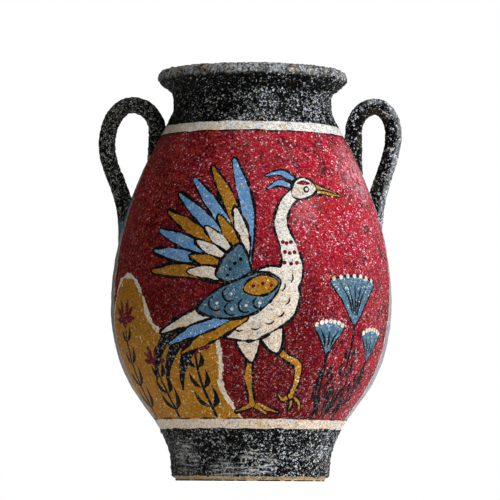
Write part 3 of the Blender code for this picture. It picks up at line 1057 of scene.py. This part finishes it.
class Tree:
    """A short way to write a material's nodes. Values are plain or outputs of other nodes."""

    def __init__(self, tree):
        self.tree = tree

    def put(self, value, socket):
        if isinstance(value, Number):
            value = value.socket
        if isinstance(value, bpy.types.NodeSocket):
            self.tree.links.new(value, socket)
        elif isinstance(value, tuple) and socket.type == "RGBA":
            socket.default_value = (*value, 1)
        else:
            socket.default_value = value

    def add(self, kind, values=(), **settings):
        made = self.tree.nodes.new("ShaderNode" + kind)
        for name, value in settings.items():
            setattr(made, name, value)
        for name, value in dict(values).items():
            self.put(value, made.inputs[name])
        return made

    def number(self, kind, values=(), output=0, **settings):
        return Number(self, self.add(kind, values, **settings).outputs[output])

    def math(self, operation, a, b):
        return self.number("Math", {0: a, 1: b}, operation=operation)

    def vector(self, operation, *values):
        return self.add("VectorMath", dict(enumerate(values)), operation=operation).outputs[0]

    def mix(self, share, a, b):
        """The first colour, with a share of the second over it."""
        made = self.add("Mix", data_type="RGBA")
        for number, value in ((0, share), (6, a), (7, b)):
            self.put(value, made.inputs[number])
        return made.outputs[2]

    def between(self, value, low, high):
        """0 at low, 1 at high, smooth between."""
        values = {"Value": value, "From Min": low, "From Max": high}
        return self.number("MapRange", values, interpolation_type="SMOOTHSTEP")


# Where the finish, and the light and shade painted into it, changes, in millimetres. Each
# change starts at the first place and is complete at the second.
PAINTED_LIGHT_ACROSS = (-62, 68)  # painted light, from the shaded left to the lit right
# across the right handle, where its painted sheen starts and is full
RIGHT_COIL = (52, 62)
FADED_STREAKS = (26, 12)
# down towards the foot: on the red, the low tone there is painted shade
DOWNWARDS = (150, 35)
LIP_RIM = (193.8, 196.4)
LIP_WAVER = 4  # how far the lip's grey runs up and down in all
UNDER_LIP_SHADE = ((186.2, 189.2), (196.0, 194.8))  # bottom and top of the painted shade in the groove under the lip's roll
FOOT = (26.0, 22.5)

# Places where the sand shows through more, and where a painted sheen or highlight lies, each
# a centre, a reach and a strength
WORN_AND_SHEEN = (
    ((4, -38, 180), 15, 0.28),
    ((30, -24, 181), 14, 0.15),
    ((3, -38, 7), 14, 0.50),
    ((-13, -36, 5), 9, 0.45),
    ((34, -18, 12), 9, 0.35),
    ((-31, -22, 11), 14, 0.65),
    ((50, -22, 148), 24, 0.36),
    ((22, -52, 128), 17, 0.25),
    ((-66, 0, 177), 14, 0.35),
)
SHAKE = 2.2 * MM  # how far the grains are moved off their even spacing


def sand_group():
    """Patterns that all paints share, in object space: the grain's height, pale specks, dark
    pits, slow drifts, places such as the lip, and painted light and shade: a side lit from
    the right, sheens, and shade in the sand's hollows, under the lip and inside a handle."""
    group = bpy.data.node_groups.new("sand", "ShaderNodeTree")
    t = Tree(group)
    place = t.add("TexCoord").outputs["Object"]
    apart = t.add("SeparateXYZ", {0: place})
    x, z = Number(t, apart.outputs["X"]), Number(t, apart.outputs["Z"])

    def reached(value, stretch):
        start, full = stretch
        return t.between(value, start * MM, full * MM)

    def noise_at(scale, detail=2.0, roughness=0.6, at=place):
        values = {"Vector": at, "Scale": scale, "Detail": detail, "Roughness": roughness}
        return t.number("TexNoise", values, "Fac")

    def moved(offset, stretch=(1, 1, 1)):
        return t.vector("MULTIPLY_ADD", place, stretch, offset)

    wobble = t.add("TexNoise", {"Vector": place, "Scale": 800.0, "Detail": 1.0}).outputs["Color"]
    centred = t.vector("SUBTRACT", wobble, (0.5, 0.5, 0.5))
    shaken = t.vector("MULTIPLY_ADD", centred, (SHAKE, SHAKE, SHAKE), place)
    drift = noise_at(26.0, 3.0)
    patch = noise_at(110.0, 4.0, at=moved((0.3, 0.1, 0.7)))
    # Painted light: 0 on the shaded left, 1 on the lit right
    side = reached(x, PAINTED_LIGHT_ACROSS)
    foot = reached(z, FOOT)
    waver = (noise_at(140.0, 4.0, at=moved((0.6, 0.2, 0.4))) - 0.5) * (LIP_WAVER * MM)
    lip_zone = reached(z + waver, LIP_RIM)
    # Painted shade in the groove under the lip's roll, less on the lit right; specks are fewer there
    bottom, top = UNDER_LIP_SHADE
    groove_shade = reached(z, bottom) * reached(z, top) * (1 - side * 0.30)
    worn_and_sheen = 0.0
    for centre, reach, strength in WORN_AND_SHEEN:
        away = {0: place, 1: tuple(c * MM for c in centre)}
        distance = t.number("VectorMath", away, "Value", operation="DISTANCE")
        worn_and_sheen = reached(distance, (reach, reach * 0.25)) * strength + worn_and_sheen

    coiled = t.number("Attribute", (), "Fac", attribute_name="coiled")
    gapward = t.number("Attribute", (), "Fac", attribute_name="towards_gap")
    # Painted shade on the right handle's inner side, towards the gap, where brown bounce light is
    # painted
    shaded = coiled * t.between(gapward, -0.05, 0.45) * side
    # Painted sheen along the right handle's outer side
    sheen_side = coiled * t.between(gapward, -0.20, -0.60) * reached(x, RIGHT_COIL)
    # How thickly the specks lie: thicker on the lit right and on painted sheens, where they stand
    # for glints, and thinner in painted shade
    crowd = (t.between(patch, 0.36, 0.62) * 0.75 + 0.25) * (side * 0.70 + 0.30)
    crowd = crowd + foot * 0.10 + worn_and_sheen + coiled * (0.64 - side * 0.66) + sheen_side * 0.25
    crowd = crowd * (1 - shaded * 0.80) * (1 - groove_shade * 0.95)

    def specks(scale, chance, size, crowding=crowd):
        cells = t.add("TexVoronoi", {"Vector": shaken, "Scale": scale})
        drawn = t.number("SeparateColor", {"Color": cells.outputs["Color"]})
        limit = 1 - crowding * chance
        grain = t.between(cells.outputs["Distance"], size, size * 0.5)
        return t.between(drawn, limit - 0.12, limit) * grain

    streaks = noise_at(1.0, 3.0, 0.7, moved((0, 0, 0), (110, 110, 1000)))
    # Painted sheen round the spots above, away from the foot
    sheen_mask = t.between(worn_and_sheen, 0.06, 0.50) * (1 - foot)
    sheen_noise = noise_at(420.0, 3.0)
    lip_patches = t.between(patch, 0.34, 0.54) * 0.60 + 0.40
    made = {
        "Height": noise_at(1100.0, 2.0, 0.7) * 0.6 + noise_at(480.0) * 0.75,
        "Large": specks(1050.0, 0.38, 0.56),
        "Sparse": specks(1020.0, 0.17, 0.50, crowd * 0.95 + 0.08),
        "Fine": specks(1600.0, 0.34, 0.56),
        "Flecks": specks(1250.0, 0.60, 0.60, t.between(drift, 0.30, 0.60)),
        "Pits": specks(820.0, 0.30, 0.52),
        # Painted shade in the sand's hollows
        "GrainShade": t.between(noise_at(1400.0, 1.0, at=moved((0.2, 0.4, 0.9))), 0.56, 0.36),
        "Drift": drift,
        "Patch": patch,
        "Mottle": noise_at(300.0, 4.0, 0.62),
        "Other": noise_at(160.0, 3.0, 0.6, moved((0.5, 0.9, 0.2))),
        "Side": side,
        "Low": reached(z, DOWNWARDS),
        # The lip's grey: partly wear of the slip, partly a painted highlight from above
        "Lip": lip_zone * t.between(noise_at(760.0, 4.0), 0.36, 0.60) * lip_patches,
        "Shaded": shaded,
        "CoilSheen": sheen_side * t.between(sheen_noise, 0.38, 0.58),
        "Sheen": sheen_mask * t.between(sheen_noise, 0.40, 0.58),
        "Streaks": (t.between(worn_and_sheen, 0.10, 0.45) * t.between(streaks, 0.50, 0.60)
                    * foot * reached(x, FADED_STREAKS)),
    }
    out = group.nodes.new("NodeGroupOutput")
    for name, value in made.items():
        group.interface.new_socket(name, in_out="OUTPUT", socket_type="NodeSocketFloat")
        t.put(value, out.inputs[name])
    return group


SAND_GROUP = sand_group()


class Paint(NamedTuple):
    """The tones of one paint, and how strongly each shows. Its own tone drifts from dim,
    mostly on the left, to full, mostly on the right: painted light from the right, with random
    drifts. Stains and cooler or darker passages lie over it in patches, and flecks in small
    spots; pits and the painted shade in the sand's hollows are dark, and specks, in one of the
    group's sizes of grain, are pale: partly the sandy ground, partly painted glints that are
    brighter and thicker on the lit right. The sheen is a painted highlight."""

    name: str
    dim: tuple
    full: tuple
    speck_dim: tuple
    speck_full: tuple
    pit_and_shade: tuple
    stain: tuple
    passage: tuple
    fleck: tuple
    low: tuple = None  # the tone near the foot
    low_reach: tuple = (0.0, 1.0)  # share of the way down at which that starts and is complete
    low_spared: float = 0.0  # how much of it is missing on the far right
    low_plain: float = 0.0  # how far the flecks fade with it, and half as far the specks
    specks: float = 0.8
    fine: float = 0.6
    pits: float = 0.7
    grain_shade: float = 0.5
    stained: float = 0.5
    passages: float = 0.4
    flecks: float = 0.4
    sheen: float = 0.2
    grain: str = "Sparse"
    roughness: float = 0.45
    gloss: float = 0.03
    relief: float = 0.9


# Tones that only the black slip has: painted brown bounce light in the shade inside a handle,
# warmer specks, and the lip's grey, partly wear and partly a painted highlight
PAINTED_BOUNCE_BROWN = (0.036, 0.026, 0.017)
WARM_DIM = (0.13, 0.115, 0.075)
WARM_FULL = (0.62, 0.52, 0.33)
LIP_GREY_WEAR_AND_HIGHLIGHT = (0.34, 0.35, 0.36)
LIP_BROWN = (0.26, 0.21, 0.145)


def paint_material(paint):
    material = bpy.data.materials.new(paint.name)
    material.use_nodes = True
    t = Tree(material.node_tree)
    shader = material.node_tree.nodes["Principled BSDF"]
    sand = t.add("Group", node_tree=SAND_GROUP)
    out = {socket.name: Number(t, socket) for socket in sand.outputs}
    other, mottle = out["Other"], out["Mottle"]
    slip = paint.grain == "Large"

    # The tone follows painted light from the right, with random drifts over it
    drift_and_light = out["Side"] * 0.62 + out["Drift"] * 0.45 + out["Patch"] * 0.40 + mottle * 0.40
    tone = speck_tone = t.between(drift_and_light, 0.50, 1.28)
    colour = t.mix(tone, paint.dim, paint.full)
    flecks = out["Flecks"] * paint.flecks
    specks = out[paint.grain] * paint.specks
    # The low tone: on the red, painted shade towards the foot, less on the lit right
    if paint.low:
        lowered = t.mix(out["Side"], tuple(0.5 * c for c in paint.low), paint.low)
        low = t.between(out["Low"], *paint.low_reach)
        low = low * (1 - t.between(out["Side"], 0.70, 0.95) * paint.low_spared)
        colour = t.mix(low, colour, lowered)
        fading = 1 - low * (0.5 * paint.low_plain)
        flecks = flecks * (1 - low * paint.low_plain)
        specks, speck_tone = specks * fading, tone * fading
    speck = t.mix(speck_tone, paint.speck_dim, paint.speck_full)
    if slip:
        warm = t.mix(tone, WARM_DIM, WARM_FULL)
        speck = t.mix(t.between(mottle, 0.48, 0.62) * 0.55, speck, warm)

    layers = [
        (t.between(other, 0.50, 0.64) * paint.passages, paint.passage),
        (t.between(mottle, 0.50, 0.66) * paint.stained, paint.stain),
        (flecks, paint.fleck),
        # Painted shade in the sand's hollows
        (out["GrainShade"] * paint.grain_shade, paint.pit_and_shade),
        (out["Pits"] * paint.pits, paint.pit_and_shade),
    ]
    if slip:
        layers += [
            # Painted brown bounce light in the shade inside the right handle
            (out["Shaded"] * t.between(out["Patch"], 0.38, 0.60) * 0.8, PAINTED_BOUNCE_BROWN),
            # The lip's grey, partly wear and partly a painted highlight from above
            (out["Lip"] * 0.85, t.mix(t.between(other, 0.50, 0.62), LIP_GREY_WEAR_AND_HIGHLIGHT, LIP_BROWN)),
            # More painted shade in the hollows of the black slip
            (out["GrainShade"] * 0.32, paint.pit_and_shade),
            (out["Streaks"] * 0.7, speck),
            # Painted sheen along the right handle's outer side
            (out["CoilSheen"] * 0.22, speck),
        ]
    # Painted sheen, then the pale specks, which stand partly for glints
    layers += [(out["Sheen"] * paint.sheen, speck), (out["Fine"] * paint.fine, speck), (specks, speck)]
    for share, over in layers:
        colour = t.mix(share, colour, over)

    rough = mottle * 0.24 + (paint.roughness - 0.12 - out[paint.grain] * 0.18)
    relief = {"Height": out["Height"], "Strength": paint.relief, "Distance": 0.5 * MM}
    t.put(colour, shader.inputs["Base Color"])
    t.put(rough, shader.inputs["Roughness"])
    t.put(t.add("Bump", relief).outputs["Normal"], shader.inputs["Normal"])
    shader.inputs["Specular IOR Level"].default_value = paint.gloss
    return material


# In the order of the slots
PAINTS = (
    Paint("black_slip", dim=(0.0006, 0.0006, 0.0005), full=(0.0010, 0.0012, 0.0018),
          speck_dim=(0.165, 0.165, 0.150), speck_full=(0.74, 0.80, 0.88), pit_and_shade=(0.0003, 0.0003, 0.0003),
          stain=(0.009, 0.0075, 0.0035), passage=(0.002, 0.0025, 0.0035), fleck=(0.010, 0.010, 0.009),
          specks=0.85, fine=0.55, stained=0.5, passages=0.5, flecks=0.6, grain="Large", sheen=0.04),
    # The red's low tone is painted shade, darker towards the foot and less so on the lit right
    Paint("red_paint", dim=(0.049, 0.0007, 0.0024), full=(0.50, 0.0050, 0.034),
          speck_dim=(0.34, 0.14, 0.115), speck_full=(1.0, 0.70, 0.79), pit_and_shade=(0.008, 0.0005, 0.0009),
          stain=(0.22, 0.014, 0.005), passage=(0.085, 0.0010, 0.011), fleck=(0.38, 0.085, 0.030),
          low=(0.120, 0.0006, 0.0025), low_reach=(0.05, 0.70), low_spared=0.55, low_plain=0.8,
          specks=0.88, fine=0.30, pits=0.85, grain_shade=0.66, stained=0.62, passages=0.85, flecks=0.52,
          sheen=0.30),
    Paint("cream_paint", dim=(0.43, 0.39, 0.335), full=(0.82, 0.825, 0.81),
          speck_dim=(0.56, 0.53, 0.48), speck_full=(0.98, 0.98, 0.98), pit_and_shade=(0.075, 0.058, 0.038),
          stain=(0.50, 0.34, 0.14), passage=(0.43, 0.51, 0.57), fleck=(0.36, 0.22, 0.08),
          low=(0.84, 0.71, 0.58), specks=0.6, fine=0.3, pits=0.70, grain_shade=0.40, stained=0.72,
          passages=0.5, flecks=0.72, roughness=0.5),
    Paint("ochre_paint", dim=(0.21, 0.092, 0.005), full=(0.46, 0.205, 0.012),
          speck_dim=(0.50, 0.34, 0.16), speck_full=(0.98, 0.86, 0.62), pit_and_shade=(0.040, 0.019, 0.004),
          stain=(0.40, 0.11, 0.005), passage=(0.25, 0.11, 0.006), fleck=(0.12, 0.06, 0.007),
          specks=0.8, fine=0.30, grain_shade=0.45, stained=0.4, flecks=0.45),
    Paint("steel_blue_paint", dim=(0.024, 0.062, 0.096), full=(0.060, 0.155, 0.24),
          speck_dim=(0.26, 0.32, 0.36), speck_full=(0.70, 0.82, 0.92), pit_and_shade=(0.008, 0.015, 0.022),
          stain=(0.13, 0.12, 0.07), passage=(0.050, 0.080, 0.095), fleck=(0.10, 0.22, 0.32),
          specks=0.75, fine=0.25, grain_shade=0.4, stained=0.5, flecks=0.4),
    Paint("sky_blue_paint", dim=(0.062, 0.16, 0.31), full=(0.12, 0.28, 0.54),
          speck_dim=(0.40, 0.50, 0.58), speck_full=(0.82, 0.92, 1.0), pit_and_shade=(0.02, 0.05, 0.10),
          stain=(0.19, 0.23, 0.20), passage=(0.07, 0.17, 0.34), fleck=(0.28, 0.42, 0.60),
          specks=0.75, fine=0.30, grain_shade=0.4, stained=0.6, flecks=0.4),
    Paint("maroon_paint", dim=(0.050, 0.0015, 0.003), full=(0.17, 0.003, 0.010),
          speck_dim=(0.30, 0.12, 0.12), speck_full=(0.85, 0.42, 0.50), pit_and_shade=(0.010, 0.001, 0.001),
          stain=(0.09, 0.010, 0.005), passage=(0.06, 0.002, 0.004), fleck=(0.26, 0.01, 0.03),
          specks=0.6, fine=0.25, grain_shade=0.4, stained=0.3),
    Paint("bare_clay", dim=(0.27, 0.215, 0.135), full=(0.62, 0.43, 0.21),
          speck_dim=(0.48, 0.43, 0.34), speck_full=(0.90, 0.84, 0.72), pit_and_shade=(0.04, 0.03, 0.02),
          stain=(0.52, 0.25, 0.06), passage=(0.13, 0.11, 0.075), fleck=(0.12, 0.10, 0.06),
          specks=0.6, fine=0.4, grain_shade=0.3, stained=0.7, passages=0.6, flecks=0.5, roughness=0.75,
          gloss=0.15),
    Paint("black_line", dim=(0.0012, 0.0012, 0.0012), full=(0.002, 0.0024, 0.003),
          speck_dim=(0.10, 0.10, 0.09), speck_full=(0.42, 0.44, 0.48), pit_and_shade=(0.001, 0.001, 0.001),
          stain=(0.008, 0.006, 0.003), passage=(0.004, 0.004, 0.005), fleck=(0.012, 0.012, 0.012),
          specks=0.4, fine=0.2, stained=0.3),
    Paint("grey_paint", dim=(0.155, 0.148, 0.130), full=(0.37, 0.375, 0.395),
          speck_dim=(0.30, 0.30, 0.28), speck_full=(0.85, 0.86, 0.88), pit_and_shade=(0.03, 0.03, 0.028),
          stain=(0.24, 0.21, 0.15), passage=(0.14, 0.18, 0.215), fleck=(0.12, 0.12, 0.115),
          specks=0.6, fine=0.3, grain_shade=0.4, stained=0.5, passages=0.5, flecks=0.5),
)


def plain_material(name, colour, roughness, glow=0.0):
    material = bpy.data.materials.new(name)
    material.use_nodes = True
    shader = material.node_tree.nodes["Principled BSDF"]
    shader.inputs["Base Color"].default_value = (*colour, 1)
    shader.inputs["Roughness"].default_value = roughness
    shader.inputs["Specular IOR Level"].default_value = 0.1
    shader.inputs["Emission Color"].default_value = (1, 1, 1, 1)
    shader.inputs["Emission Strength"].default_value = glow
    return material


vase = make_vase()
for paint in PAINTS:
    vase.data.materials.append(paint_material(paint))
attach(vase, "root")
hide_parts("vase")


# Stage

CAMERA_DISTANCE = 1.807
CAMERA_HEIGHT = 0.002
CAMERA_LENS = 267.2
BASE_ROW = 481.0  # where the foot stands in the 500 by 500 frame
FRAME_SIZE = 500
SENSOR = 36.0
CAMERA_ROLL = 0.0065
AXIS_COLUMN = 1.5  # how far right of the frame's middle the vase's axis stands
FLOOR_RADIUS = 0.7
FLOOR_DROP = 0.0002  # the floor lies this far under the foot
SOFT_LIGHT = 0.10
LIGHTS = (  # each a name, a place, a target, a width and a power
    ("key", (1.05, -0.90, 0.85), (0, 0, 0.10), 0.50, 20),
    ("right_edge", (1.15, 0.75, 0.35), (0, 0, 0.10), 0.8, 4.5),
    ("fill", (-1.2, -0.9, 0.30), (0, 0, 0.09), 0.9, 2.4),
    ("top", (0.15, -0.35, 1.15), (0, 0, 0.18), 0.4, 5),
)


def add_camera():
    """A camera that looks slightly up from the height of the foot, turned so that the vase's
    axis and foot land where the photograph has them."""
    data = bpy.data.cameras.new("camera")
    data.lens, data.sensor_width, data.sensor_fit = CAMERA_LENS, SENSOR, "HORIZONTAL"
    focal = CAMERA_LENS / SENSOR * FRAME_SIZE
    rise = math.atan((BASE_ROW - FRAME_SIZE / 2) / focal) - math.atan(CAMERA_HEIGHT / CAMERA_DISTANCE)
    camera = bpy.data.objects.new("camera", data)
    camera.location = (0, -CAMERA_DISTANCE, CAMERA_HEIGHT)
    ahead = Vector((-math.sin(AXIS_COLUMN / focal), math.cos(AXIS_COLUMN / focal), math.tan(rise)))
    turned = ahead.to_track_quat("-Z", "Y").to_matrix() @ Matrix.Rotation(CAMERA_ROLL, 3, "Z")
    camera.rotation_euler = turned.to_euler()
    bpy.context.scene.collection.objects.link(camera)
    bpy.context.scene.camera = camera


def add_light(name, place, target, size, power):
    data = bpy.data.lights.new(name, "AREA")
    data.shape, data.size, data.energy = "DISK", size, power
    light = bpy.data.objects.new(name, data)
    light.location = place
    light.rotation_mode = "QUATERNION"
    light.rotation_quaternion = (Vector(target) - Vector(place)).to_track_quat("-Z", "Y")
    bpy.context.scene.collection.objects.link(light)


def add_floor():
    place = (0, 0, -FLOOR_DROP)
    bpy.ops.mesh.primitive_circle_add(vertices=96, radius=FLOOR_RADIUS, fill_type="NGON", location=place)
    floor = bpy.context.object
    floor.name = "floor"
    floor.data.materials.append(plain_material("pale_floor", (0.86, 0.86, 0.86), 0.9, glow=0.55))


def set_world():
    """Soft light from all sides, and a white that only the camera sees."""
    world = bpy.data.worlds.new("studio")
    bpy.context.scene.world = world
    world.use_nodes = True
    t = Tree(world.node_tree)
    soft = world.node_tree.nodes["Background"]
    t.put((1, 1, 1), soft.inputs["Color"])
    t.put(SOFT_LIGHT, soft.inputs["Strength"])
    white = t.add("Background", {"Color": (1, 1, 1), "Strength": 1.0})
    seen = t.add("LightPath").outputs["Is Camera Ray"]
    both = t.add("MixShader", {0: seen, 1: soft.outputs[0], 2: white.outputs[0]})
    t.put(both.outputs[0], world.node_tree.nodes["World Output"].inputs["Surface"])


add_camera()
for light in LIGHTS:
    add_light(*light)
add_floor()
set_world()
bpy.context.scene.view_settings.view_transform = "Standard"
